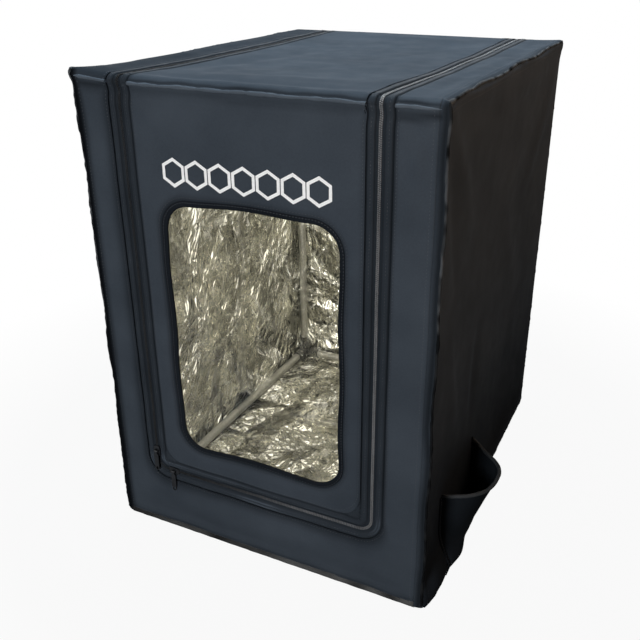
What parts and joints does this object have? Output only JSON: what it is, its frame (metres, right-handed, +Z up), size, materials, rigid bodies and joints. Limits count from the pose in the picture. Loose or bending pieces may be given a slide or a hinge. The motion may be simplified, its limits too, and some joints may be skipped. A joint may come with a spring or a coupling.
{
  "type": "printer enclosure tent",
  "caption": "Box-shaped cloth tent for a desktop printer: tube frame, foil lining, zipped front door and roof flap with a clear window, and a gaping tool pocket on one side.",
  "frame": {"origin": "middle of the cover's base, on the floor", "axes": "+Z up, -Y towards the front door, +X to the right seen from the front"},
  "size_m": [0.6013, 0.6673, 0.745],
  "materials": {
    "cloth": "satin coated dark navy-grey oxford cloth",
    "foil": "crinkled metallised film",
    "tape": "matte black woven tape",
    "teeth": "moulded nylon coil, slightly glossy",
    "tube": "pale grey coated steel tube",
    "connector": "fine moulded black",
    "window": "clear flexible sheet, glossy",
    "slider": "semi-gloss black enamel over cast metal"
  },
  "bodies": {
    "enclosure": {"left_wall": "cloth", "right_wall": "cloth", "back_wall": "cloth", "back_band_left": "cloth", "back_band_right": "cloth", "back_band_sill": "cloth", "floor_panel": "cloth", "front_surround": "cloth", "roof_strip_left": "cloth", "roof_strip_right": "cloth", "left_lining": "foil", "right_lining": "foil", "back_lining": "foil", "floor_lining": "foil", "surround_lining": "foil", "roof_strip_left_lining": "foil", "roof_strip_right_lining": "foil", "fixed_zip_tape": "tape", "fixed_zip_teeth": "teeth", "side_pocket": "cloth", "pocket_hem": "tape", "cable_port_welt": "tape", "upright_front_left": "tube", "upright_front_right": "tube", "upright_back_left": "tube", "upright_back_right": "tube", "base_rail_front": "tube", "base_rail_back": "tube", "base_rail_left": "tube", "base_rail_right": "tube", "top_rail_front": "tube", "top_rail_back": "tube", "top_rail_left": "tube", "top_rail_right": "tube", "corner_front_left_low": "connector", "corner_front_right_low": "connector", "corner_back_left_low": "connector", "corner_back_right_low": "connector", "corner_front_left_top": "connector", "corner_front_right_top": "connector", "corner_back_left_top": "connector", "corner_back_right_top": "connector"},
    "roof_flap": {"roof_panel": "cloth", "roof_lining": "foil", "front_fold": "cloth", "roof_zip_tape": "tape", "roof_zip_teeth": "teeth"},
    "front_door": {"door_panel": "cloth", "door_lining": "foil", "window_pane": "window", "window_welt": "tape", "door_zip_tape": "tape", "door_zip_teeth": "teeth"},
    "side_slider": {"side_slider": "slider"},
    "side_pull": {"side_pull": "slider"},
    "bottom_slider": {"bottom_slider": "slider"},
    "bottom_pull": {"bottom_pull": "slider"}
  },
  "joints": [
    {"name": "roof_flap_hinge", "type": "hinge", "parent": "enclosure", "child": "roof_flap", "pos_m": [0, 0.32, 0.745], "axis": [-1, 0, 0], "range_deg": [0, 175]},
    {"name": "front_door_hinge", "type": "hinge", "parent": "roof_flap", "child": "front_door", "pos_m": [0, -0.333, 0.748], "axis": [-1, 0, 0], "range_deg": [0, 265]},
    {"name": "side_slider_slide", "type": "slide", "parent": "front_door", "child": "side_slider", "axis": [0, 0, 1], "range_m": [0, 0.47]},
    {"name": "bottom_slider_slide", "type": "slide", "parent": "front_door", "child": "bottom_slider", "axis": [1, 0, 0], "range_m": [0, 0.31]},
    {"name": "side_pull_hinge", "type": "hinge", "parent": "side_slider", "child": "side_pull", "pos_m": [-0.189, -0.33395, 0.151], "axis": [-1, 0, 0], "range_deg": [0, 175]},
    {"name": "bottom_pull_hinge", "type": "hinge", "parent": "bottom_slider", "child": "bottom_pull", "pos_m": [-0.158, -0.33395, 0.12], "axis": [-1, 0, 0], "range_deg": [0, 175]}
  ]
}
